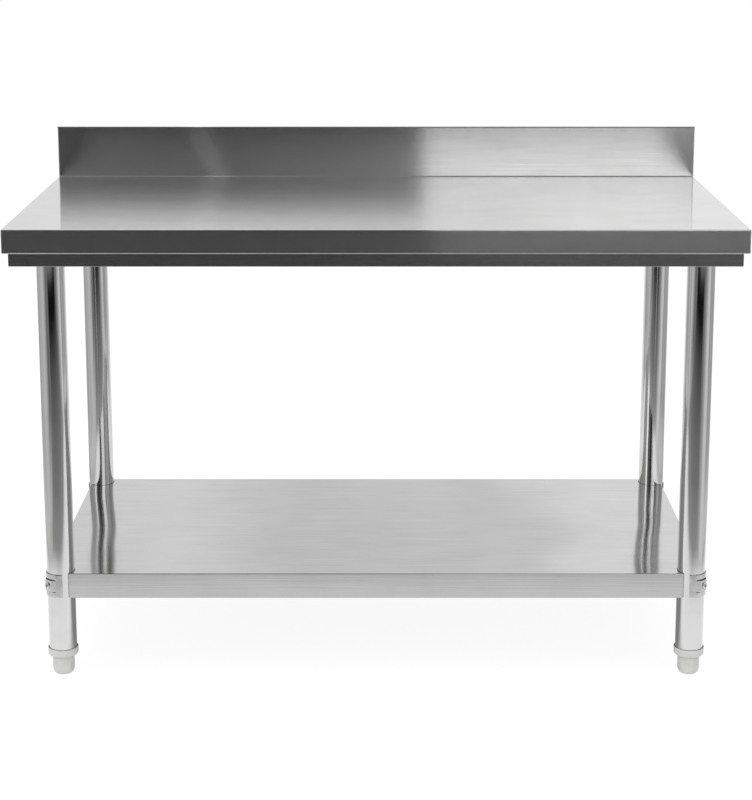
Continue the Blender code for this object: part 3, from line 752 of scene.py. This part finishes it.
def brushed_sheet(name, tone, roughness, grain, haze, wave, anisotropy):
    """Satin steel. The grain runs along X, and up and down on the end faces, as in a sheet that was brushed
    before it was folded. grain is how far the fine lines tip the surface, and wave how far it undulates."""
    material, g, shader = new_material(name, 1.0)
    place, normal = g.place(), g.normal()
    x, y, z = g.split(place)
    nx, _, nz = g.split(normal)
    on_end = g.math("GREATER_THAN", g.math("ABSOLUTE", nx), 0.7)
    along = g.mix_value(on_end, x, z)
    across = g.mix_value(on_end, g.sum(y, z), y)
    along_axis = g.combine(g.math("SUBTRACT", 1.0, on_end), 0, on_end)
    across_axis = g.vector("NORMALIZE", g.vector("CROSS_PRODUCT", normal, along_axis))

    def lines(per_metre, length):
        return g.noise(g.combine(g.product(along, 1 / length), g.product(across, per_metre), on_end), 1, 1)

    def undulation(offset, scale):
        return g.math("SUBTRACT", g.noise(g.vector("ADD", place, offset), scale, 1), 0.5)

    fine = g.math("SUBTRACT", lines(24000, 0.0006), 0.5)
    coarse = g.math("SUBTRACT", lines(420, 0.22), 0.5)
    broad = lines(30, 0.6)
    flat = g.math("ABSOLUTE", nz)
    swing = g.product(flat, wave)
    tip = g.product(fine, g.range(flat, 0, 1, 2 * grain, grain))
    tip = g.sum(tip, g.product(coarse, 0.05 * grain), g.product(undulation((0, 0, 0), 3.6), swing))
    bent = g.vector("ADD", normal, g.scaled(across_axis, tip))
    bent = g.vector("ADD", bent, g.scaled(along_axis, g.product(undulation((7, 3, 5), 2.3), swing)))
    smudges = g.range(g.noise(place, 9, 4, 0.6), 0.35, 0.75)
    stain = g.mix(smudges, grey(tone), grey(tone * 0.955, 0.01))
    streak = g.range(coarse, -0.2, 0.2, 0.955, 1.035)
    g.put(shader.inputs["Base Color"], g.scaled(stain, g.sum(streak, wipe_mark(g, x, y, z))))
    rough = g.multiply_add(broad, haze, roughness - haze / 2)
    g.put(shader.inputs["Roughness"], g.sum(rough, g.product(smudges, haze * 0.4)))
    shader.inputs["Anisotropic"].default_value = anisotropy
    g.put(shader.inputs["Tangent"], across_axis)
    g.put(shader.inputs["Normal"], g.vector("NORMALIZE", bent))
    return material


def polished_tube(name, tone, roughness):
    """Bright drawn tube: sharp reflections, broken along the length by faint flats and polishing lines."""
    material, g, shader = new_material(name, 1.0)
    place, normal = g.place(), g.normal()
    nx, ny, _ = g.split(normal)
    height = g.split(place)[2]
    corner = g.scaled(g.vector("SIGN", place), 5)
    around = g.vector("NORMALIZE", g.vector("CROSS_PRODUCT", normal, (0, 0, 1)))

    def lines(per_turn, length, detail=1.0):
        ring = g.combine(g.product(nx, per_turn), g.product(ny, per_turn), g.product(height, 1 / length))
        return g.math("SUBTRACT", g.noise(g.vector("ADD", ring, corner), 1, detail), 0.5)

    tip = g.product(lines(2.6, 1.6), 0.10)
    tip = g.sum(tip, g.product(lines(9, 1.1), 0.05), g.product(lines(90, 0.12, 2), 0.03))
    bow = g.product(g.math("SUBTRACT", g.noise(place, 5, 1), 0.5), 0.012)
    bent = g.vector("ADD", normal, g.scaled(around, tip))
    bent = g.vector("ADD", bent, g.combine(0, 0, bow))
    smudge = g.range(g.noise(place, 16, 4, 0.6), 0.4, 0.75)
    g.put(shader.inputs["Base Color"], g.mix(smudge, grey(tone), grey(tone * 0.94, 0.01)))
    g.put(shader.inputs["Roughness"], g.mix_value(smudge, roughness, roughness * 1.5))
    shader.inputs["Anisotropic"].default_value = 0.4
    g.put(shader.inputs["Tangent"], around)
    g.put(shader.inputs["Normal"], g.vector("NORMALIZE", bent))
    return material


def satin_steel(name, tone, roughness, bump=0.0002, scale=420, reach=0.003):
    """Pressed plate and fasteners: fine pitting, handling marks and painted shade that darkens the colour in
    hollows.
    """
    material, g, shader = new_material(name, 1.0)
    place = g.place()
    fine = g.noise(place, scale * 3, 3)
    marks = g.range(g.noise(place, scale / 6, 3, 0.6), 0.35, 0.7)
    edge = g.add("ShaderNodeNewGeometry", output="Pointiness")
    worn = g.range(edge, 0.5, 0.62)
    base = g.mix(marks, grey(tone), grey(tone * 0.86, 0.02))
    bright = g.mix(worn, base, grey(min(1, tone * 1.18)))
    # Painted shade: ambient occlusion darkens the colour where other surfaces are near, in hollows and
    # between parts.
    hollow = g.add("ShaderNodeAmbientOcclusion", {"Distance": reach}, 1, samples=6)
    painted_hollow_shade = g.range(hollow, 0.25, 0.85, 0.12, 1)
    g.put(shader.inputs["Base Color"], g.scaled(bright, painted_hollow_shade))
    g.put(shader.inputs["Roughness"], g.mix_value(marks, roughness, roughness * 1.35))
    normal = g.add("ShaderNodeBump", {"Height": fine, "Distance": bump, "Strength": 0.35})
    g.put(shader.inputs["Normal"], normal)
    return material


def moulded_plastic(name, tone):
    """Grey nylon with a fine moulded texture, a faint sheen and scuffs."""
    material, g, shader = new_material(name, 0.0)
    place = g.place()
    cloud = g.range(g.noise(place, 60, 4, 0.6), 0.3, 0.75)
    scuff = g.range(g.noise(g.vector("MULTIPLY", place, (300, 300, 60)), 1, 4, 0.7), 0.62, 0.75)
    base = g.mix(cloud, grey(tone, 0.01), grey(tone * 0.93, 0.02))
    g.put(shader.inputs["Base Color"], g.mix(scuff, base, grey(tone * 0.80, 0.03)))
    g.put(shader.inputs["Roughness"], g.mix_value(cloud, 0.42, 0.52))
    texture = g.noise(place, 1800, 3)
    bump = g.add("ShaderNodeBump", {"Height": texture, "Distance": 0.0002, "Strength": 0.25})
    g.put(shader.inputs["Normal"], bump)
    shader.inputs["Specular IOR Level"].default_value = 0.45
    return material


def laminate_board(name):
    """Dark moisture-proof board with a pressed fibre pattern."""
    material, g, shader = new_material(name, 0.0)
    place = g.place()
    fibre = g.range(g.noise(g.vector("MULTIPLY", place, (60, 400, 400)), 1, 5, 0.65), 0.3, 0.75)
    blotch = g.noise(place, 14, 3)
    base = g.mix(fibre, (0.075, 0.045, 0.028, 1), (0.16, 0.10, 0.062, 1))
    g.put(shader.inputs["Base Color"], g.mix(g.range(blotch, 0.4, 0.7), base, (0.10, 0.066, 0.042, 1)))
    shader.inputs["Roughness"].default_value = 0.62
    bump = g.add("ShaderNodeBump", {"Height": fibre, "Distance": 0.0004, "Strength": 0.4})
    g.put(shader.inputs["Normal"], bump)
    return material


MATERIALS = {
    "sheet": brushed_sheet("brushed_worktop_steel", 0.66, 0.13, 0.16, 0.015, 0.006, 1.0),
    "shelf": brushed_sheet("mill_finish_shelf_steel", 0.52, 0.11, 0.03, 0.02, 0.16, 0.5),
    "frame": brushed_sheet("folded_frame_steel", 0.50, 0.15, 0.10, 0.04, 0.008, 0.8),
    "tube": polished_tube("polished_leg_steel", 0.66, 0.07),
    "plate": satin_steel("pressed_clamp_steel", 0.58, 0.24, reach=0.004),
    "fastener": satin_steel("bright_fastener_steel", 0.70, 0.13, 0.0001, reach=0.002),
    "weld": satin_steel("brushed_weld_steel", 0.40, 0.40, 0.0006, 260),
    "plastic": moulded_plastic("grey_moulded_plastic", 0.53),
    "board": laminate_board("dark_core_board"),
}


def add_piece(name, mesh, finish, body="table", node=None):
    """A visible piece that rides on a body and stands for a CAD node."""
    mesh.materials.append(MATERIALS[finish])
    obj = new_object(name, mesh)
    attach(obj, body)
    if node:
        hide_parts(node)
    return obj


# Table top, frame and shelf


def add_sheets():
    add_piece("worktop_sheet", worktop_mesh(), "sheet", node="worktop")
    add_piece("undershelf_sheet", shelf_mesh(), "shelf", node="undershelf")
    low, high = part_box("core_board")
    add_piece("core_board_panel", box_mesh("core_board_panel", low, high, 0.0006), "board", node="core_board")


def add_rails():
    """Channel rails on three sides and a taller angle rail at the back."""
    half_x = RAIL_HIGH.x
    front, back = RAIL_LOW.y, REAR_RAIL_HIGH.y
    bottom, top = RAIL_LOW.z, RAIL_HIGH.z
    flange = RAIL_FLANGE
    channel = [(flange, top), (0, top), (0, bottom), (flange, bottom)]
    angle = [(0, REAR_RAIL_HIGH.z), (0, bottom), (flange, bottom)]
    half_y = (back - front) / 2
    middle = (back + front) / 2
    rails = (
        ("front_rail", channel, half_x, (0, front), 0),
        ("right_rail", channel, half_y, (half_x, middle), math.pi / 2),
        ("left_rail", channel, half_y, (-half_x, middle), -math.pi / 2),
    )
    for node, profile, half, (x, y), turn in rails:
        mesh = moved(folded_rail(f"{node}_channel", profile, half), x, y, turn=turn)
        add_piece(f"{node}_channel", mesh, "frame", node=node)
    mesh = moved(folded_rail("rear_rail_angle", angle, half_x), y=back, turn=math.pi)
    add_piece("rear_rail_angle", mesh, "frame", node="rear_rail")


def add_channels():
    for i in (1, 2, 3):
        low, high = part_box(f"cross_channel_{i}")
        mesh = hat_mesh(f"cross_channel_{i}_hat", (high.y - low.y) / 2, high.z - low.z - HAT_SHEET)
        moved(mesh, (low.x + high.x) / 2, (low.y + high.y) / 2, high.z, math.pi / 2)
        add_piece(f"cross_channel_{i}_hat", mesh, "frame", node=f"cross_channel_{i}")
    for side in ("front", "rear"):
        low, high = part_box(f"shelf_channel_{side}")
        mesh = hat_mesh(f"shelf_channel_{side}_hat", (high.x - low.x) / 2, high.z - low.z - HAT_SHEET)
        moved(mesh, 0, (low.y + high.y) / 2, high.z)
        add_piece(f"shelf_channel_{side}_hat", mesh, "frame", node=f"shelf_channel_{side}")


def weld_bead(name, start, end, radius=BEAD_RADIUS):
    """A row of overlapping ripples between two points."""
    start, end = Vector(start), Vector(end)
    length = (end - start).length
    rings = max(6, round(3 * length / BEAD_RIPPLE))
    bm = bmesh.new()
    bmesh.ops.create_cone(bm, cap_ends=True, segments=14, radius1=1, radius2=1, depth=1)
    bmesh.ops.subdivide_edges(
        bm, edges=[e for e in bm.edges if abs(e.verts[0].co.z - e.verts[1].co.z) > 0.5], cuts=rings
    )
    for vert in bm.verts:
        t = vert.co.z + 0.5
        taper = min(1, 5 * min(t, 1 - t) + 0.25)
        ripple = 1 + 0.10 * math.sin(t * length / BEAD_RIPPLE * math.tau)
        vert.co.x *= radius * taper * ripple
        vert.co.y *= radius * taper * ripple
        vert.co.z *= length
    mesh = mesh_of(bm, name)
    turn = Vector((0, 0, 1)).rotation_difference((end - start).normalized()).to_matrix().to_4x4()
    mesh.transform(Matrix.Translation((start + end) / 2) @ turn)
    mesh.shade_smooth()
    return mesh


def add_welds():
    """Tack welds that hold the leg sockets, the cross channels and the shelf's stiffeners."""
    beads = []
    for _, sx, sy in CORNERS:
        z = LEG_HIGH.z + GAP
        r = PLUG_RADIUS + 0.0004
        for quarter in range(4):
            a = math.tau * (quarter + 0.5) / 4
            b = a + 0.35
            start = (sx * LEG_X + r * math.cos(a), sy * LEG_Y + r * math.sin(a), z - 0.0002)
            end = (sx * LEG_X + r * math.cos(b), sy * LEG_Y + r * math.sin(b), z - 0.0002)
            beads.append(weld_bead("tack", start, end))
    for i in (1, 2, 3):
        low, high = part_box(f"cross_channel_{i}")
        for x in (low.x + 0.001, high.x - 0.001):
            for y in (low.y + 0.002, high.y - 0.014):
                z = low.z + HAT_SHEET
                beads.append(weld_bead("tack", (x, y, z), (x, y + 0.012, z), 0.0011))
    for side in ("front", "rear"):
        low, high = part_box(f"shelf_channel_{side}")
        for y in (low.y + HAT_BRIM - 0.0004, high.y - HAT_BRIM + 0.0004):
            for k in range(7):
                x = low.x + 0.04 + (high.x - low.x - 0.10) * k / 6
                z = high.z - 0.0006
                beads.append(weld_bead("tack", (x, y, z), (x + 0.018, y, z), 0.0009))
    add_piece("frame_tack_welds", joined("frame_tack_welds", beads), "weld")


def add_corner_pieces():
    """Each corner's pieces are made once, with the outward diagonal along +X, and turned into place."""
    thread_low, thread_high = BULLET_HIGH.z - 0.012, BULLET_HIGH.z + 0.040
    stud = threaded_rod(
        "stud", STUD_RADIUS, STUD_PITCH, STUD_LOW.z, STUD_HIGH.z, thread_low, thread_high
    )
    kinds = (
        ("leg_tube", "polished", leg_mesh(), "tube", "table"),
        ("leg_socket", "welded", socket_mesh(), "plate", "table"),
        ("socket_screw", "set", set_screw_mesh(), "fastener", "table"),
        ("corner_bracket", "curved", bracket_mesh(), "plate", "table"),
        ("clamp_saddle", "pressed", saddle_mesh(), "plate", "table"),
        ("saddle_screw", "cross", screw_mesh(), "fastener", "table"),
        ("saddle_nut", "hex", nut_mesh(), "fastener", "table"),
        ("foot_collar", "moulded", collar_mesh(), "plastic", "table"),
        ("foot_stud", "threaded", stud, "fastener", "stud"),
        ("foot_bullet", "moulded", bullet_mesh(), "plastic", "bullet"),
    )
    for corner, sx, sy in CORNERS:
        for kind, word, mesh, finish, carrier in kinds:
            body = carrier if carrier == "table" else f"{carrier}_{corner}"
            node = f"{kind}_{corner}"
            copy = moved(mesh.copy(), sx * LEG_X, sy * LEG_Y, turn=math.atan2(sy, sx))
            add_piece(f"{node}_{word}", copy, finish, body, node)


# Studio. Angles are degrees from the front (-Y) towards +X, z is the height of a direction of length 1, and
# levels are brightness, with white at 1.

STRIPES = (  # angle, half-width, level added
    (-125, 16, -0.10),
    (-72, 8, 0.08),
    (-47, 9, -0.16),
    (-31, 3, 0.08),
    (29, 4, 0.08),
    (66, 9, 0.20),
    (85, 5, -0.16),
    (108, 14, -0.12),
)
WALL_LEVEL = 0.58
WALL_ANGLES = (17, 62)
FRONT_DARK = 0.02
FRONT_GLOW = 0.26
FRONT_HIGH_LEVEL = 1.0
FRONT_ANGLES = (12, 34)
HORIZON_LEVEL = 0.08
PANEL_ANGLE = -51
PANEL_LEVEL = 1.9
BACKDROP_LEVELS = (1.06, 1.18)
BACKDROP_LOW = 0.87
BACKDROP_HIGH = 0.94
BACKDROP_DIP = 0.84
BACKDROP_ANGLES = (128, 158)
CEILING_LEVEL = 1.08
MATT_LEVEL = 0.96
MATT_LIGHT = 0.62
MATT_LIGHT_WAY = (-0.45, -0.55, 0.70)

FLOOR_GLOW = 0.91
FLOOR_MATT = 0.12
NEAR_FLOOR = 1.2
FAR_FLOOR = 3.2
FOOT_OF_TABLE_LEVEL = 0.58
UNDER_TABLE_SHADOW_LEVEL = 0.30
SIDE_FLOOR_LEVEL = 0.86

LIGHT_LOW = (0.165, -3.24, 0.70)
LIGHT_HIGH = (2.7, -3.24, 2.6)
LIGHT_LEVEL = 1.25
LIGHT_UPPER = 1.34


def stripes(g, angle):
    """Level round the studio, from a dark front to pale walls with gaps and panels."""
    total = g.range(g.math("ABSOLUTE", angle), *WALL_ANGLES, 0.004, WALL_LEVEL)
    for middle, half, amount in STRIPES:
        total = g.sum(g.range(g.apart(angle, middle), half * 0.5, half * 1.5, amount, 0), total)
    return total


def direction_angle(g, x, y):
    return g.product(g.math("ARCTAN2", x, g.product(y, -1)), 180 / math.pi)


def front_wall(g, angle, z):
    """The dark wall behind the camera, above the horizon, with a glow beside the light."""
    glow = g.math("POWER", g.range(angle, -5, 1.5, smooth=False), 1.4)
    level = g.multiply_add(glow, FRONT_GLOW, FRONT_DARK)
    left_end = g.range(angle, -11, -4, 0.06, 0)
    level = g.sum(level, left_end, g.range(z, 0.158, 0.186, 0, FRONT_HIGH_LEVEL, False))
    level = g.mix_value(g.range(z, 0.20, 0.24), level, 0.05)
    level = g.product(level, g.range(z, -0.02, 0.04, 0.1, 1))
    horizon = g.product(g.range(z, -0.02, 0.02), g.range(z, 0.08, 0.125, HORIZON_LEVEL, 0))
    return g.sum(level, horizon)


def back_wall(g, x, z):
    """The white backdrop, with a faint darker column at its middle."""
    dip = g.range(g.apart(x, 0.01), 0.05, 0.10, BACKDROP_DIP, 1)
    height = g.mix_value(g.range(z, 0.21, 0.25), BACKDROP_LOW, g.product(dip, BACKDROP_HIGH))
    return g.product(g.range(x, -0.25, 0.25, *BACKDROP_LEVELS), height)


def make_world():
    """White to the camera, even for matt surfaces, and a photographer's studio to polished ones."""
    world = bpy.data.worlds.new("studio")
    world.use_nodes = True
    bpy.context.scene.world = world
    tree = world.node_tree
    g = Graph(tree)
    way = g.add("ShaderNodeTexCoord", output="Generated")
    x, y, z = g.split(way)
    angle = direction_angle(g, x, y)
    off_axis = g.math("ABSOLUTE", angle)
    ahead = g.product(front_wall(g, angle, z), g.range(off_axis, *FRONT_ANGLES, 1, 0))
    front = g.math("MAXIMUM", stripes(g, angle), ahead)
    panel = g.product(g.range(g.apart(angle, PANEL_ANGLE), 4, 8, 1, 0), g.range(z, 0.12, 0.20))
    panel = g.product(panel, g.range(z, 0.40, 0.50, 1, 0))
    front = g.mix_value(panel, front, PANEL_LEVEL)
    around = g.mix_value(g.range(off_axis, *BACKDROP_ANGLES), front, back_wall(g, x, z))
    ceiling = g.product(g.range(z, 0.45, 0.80), g.range(y, -0.45, 0))
    studio = g.mix_value(ceiling, around, CEILING_LEVEL)
    light = g.vector("DOT_PRODUCT", way, MATT_LIGHT_WAY, output=1)
    matt = g.multiply_add(light, MATT_LIGHT, MATT_LEVEL)
    path = g.add("ShaderNodeLightPath").node
    level = g.mix_value(path.outputs["Is Glossy Ray"], matt, studio)
    level = g.mix_value(path.outputs["Is Camera Ray"], level, 1.0)
    g.put(tree.nodes["Background"].inputs["Color"], g.combine(level, level, level))


def emission_material(name):
    material = bpy.data.materials.new(name)
    material.use_nodes = True
    tree = material.node_tree
    tree.nodes.remove(tree.nodes["Principled BSDF"])
    return material, Graph(tree), tree.nodes["Material Output"]


def seen_in_steel_only(obj):
    obj.visible_camera = False
    obj.visible_diffuse = False
    obj.visible_shadow = False
    obj.visible_transmission = False
    obj.visible_volume_scatter = False


def plane(name, half, z):
    bm = bmesh.new()
    bmesh.ops.create_grid(bm, x_segments=1, y_segments=1, size=half)
    obj = new_object(name, mesh_of(bm, name))
    obj.location.z = z
    return obj


def add_floor():
    """The pale floor that the camera sees. It glows, as an overlit studio floor does, under a soft shadow."""
    floor = plane("floor", 14, -0.0004)
    material, g, output = emission_material("pale_floor")
    matt = g.add("ShaderNodeBsdfDiffuse", {"Color": grey(FLOOR_MATT)})
    glow = g.add("ShaderNodeEmission", {"Color": grey(1), "Strength": FLOOR_GLOW})
    g.put(output.inputs["Surface"], g.add("ShaderNodeAddShader", {0: matt, 1: glow}))
    floor.data.materials.append(material)
    floor.visible_glossy = False


def add_front_light():
    """The tall soft light to the right of the camera, which steel reflects."""
    left, y, bottom = LIGHT_LOW
    right, _, top = LIGHT_HIGH
    mesh = bpy.data.meshes.new("front_light")
    corners = [(left, y, bottom), (right, y, bottom), (right, y, top), (left, y, top)]
    mesh.from_pydata(corners, [], [(0, 1, 2, 3)])
    card = new_object("front_light", mesh)
    material, g, output = emission_material("front_light")
    x, _, z = g.split(g.place())
    side = g.range(x, left + 0.05, left + 0.7, LIGHT_LEVEL - 0.13, LIGHT_LEVEL)
    level = g.product(side, g.range(z, bottom, bottom + 0.5), g.range(z, 1.36, 1.50, 1, LIGHT_UPPER))
    level = g.sum(level, g.range(z, 1.05, 1.24, 0.9, 0))
    shade = g.product(g.range(x, left - 0.001, left + 0.045), g.range(x, right - 0.6, right, 1, 0))
    shade = g.product(shade, g.range(z, bottom, bottom + 0.4))
    clear = g.add("ShaderNodeBsdfTransparent")
    mixed = g.add("ShaderNodeMixShader", {0: shade, 1: clear, 2: g.glow(level)})
    g.put(output.inputs["Surface"], mixed)
    card.data.materials.append(material)
    seen_in_steel_only(card)


def past(g, value, edge):
    """How far a value is beyond an edge, on either side of 0."""
    return g.math("MAXIMUM", g.math("SUBTRACT", g.math("ABSOLUTE", value), edge), 0)


def add_mirrored_floor():
    """What polished steel sees of the floor: bright round the table, dark towards the camera, with a painted
    shadow under the table.
    """
    floor = plane("floor_seen_in_steel", 40, -0.0008)
    material, g, output = emission_material("floor_in_reflections")
    place = g.place()
    x, y, _ = g.split(place)
    off_centre = g.math("ABSOLUTE", x)
    angle = direction_angle(g, x, y)
    off_axis = g.math("ABSOLUTE", angle)
    away = g.vector("LENGTH", g.combine(past(g, x, TOP_HIGH.x), past(g, y, TOP_HIGH.y), 0), output=1)
    near = g.range(away, 0, NEAR_FLOOR, 0.28, 0, False)
    front = g.sum(near, g.range(away, NEAR_FLOOR, FAR_FLOOR, 0.25, 0.004, False))
    strip = g.product(g.range(away, 3.9, 4.3, 0, 0.22), g.range(away, 5.2, 6.0, 1, 0))
    front = g.sum(front, g.range(away, 0.46, 0.74, FOOT_OF_TABLE_LEVEL, 0), strip)
    far = g.product(g.range(off_axis, 14, 30), stripes(g, angle))
    side = g.range(g.vector("LENGTH", place, output=1), 1.0, 3.4, SIDE_FLOOR_LEVEL, 0)
    far = g.math("MAXIMUM", far, g.product(side, g.range(off_centre, 0.9, 1.6)))
    level = g.mix_value(g.range(off_axis, 130, 165), g.math("MAXIMUM", front, far), 1.0)
    # Painted shadow: the floor that steel reflects is darkened under the table, between the legs.
    under_x = g.range(off_centre, LEG_X - 0.08, LEG_X + 0.14, 1, 0)
    under_y = g.range(g.math("ABSOLUTE", y), LEG_Y - 0.08, LEG_Y + 0.14, 1, 0)
    level = g.mix_value(g.product(under_x, under_y), level, UNDER_TABLE_SHADOW_LEVEL)
    g.put(output.inputs["Surface"], g.glow(level))
    floor.data.materials.append(material)
    seen_in_steel_only(floor)


def add_camera():
    data = bpy.data.cameras.new("camera")
    data.lens = CAMERA_LENS
    data.sensor_width = 36
    data.shift_x, data.shift_y = CAMERA_SHIFT
    data.clip_end = 100
    camera = bpy.data.objects.new("camera", data)
    bpy.context.scene.collection.objects.link(camera)
    camera.location = CAMERA_PLACE
    camera.rotation_euler = (math.pi / 2 - CAMERA_DOWN, 0, 0)
    bpy.context.scene.camera = camera


def use_plain_view():
    view = bpy.context.scene.view_settings
    view.view_transform = "Standard"
    view.look = "None"
    view.exposure = 0
    view.gamma = 1


add_camera()
use_plain_view()
make_world()
add_floor()
add_mirrored_floor()
add_front_light()
add_sheets()
add_rails()
add_channels()
add_welds()
add_corner_pieces()
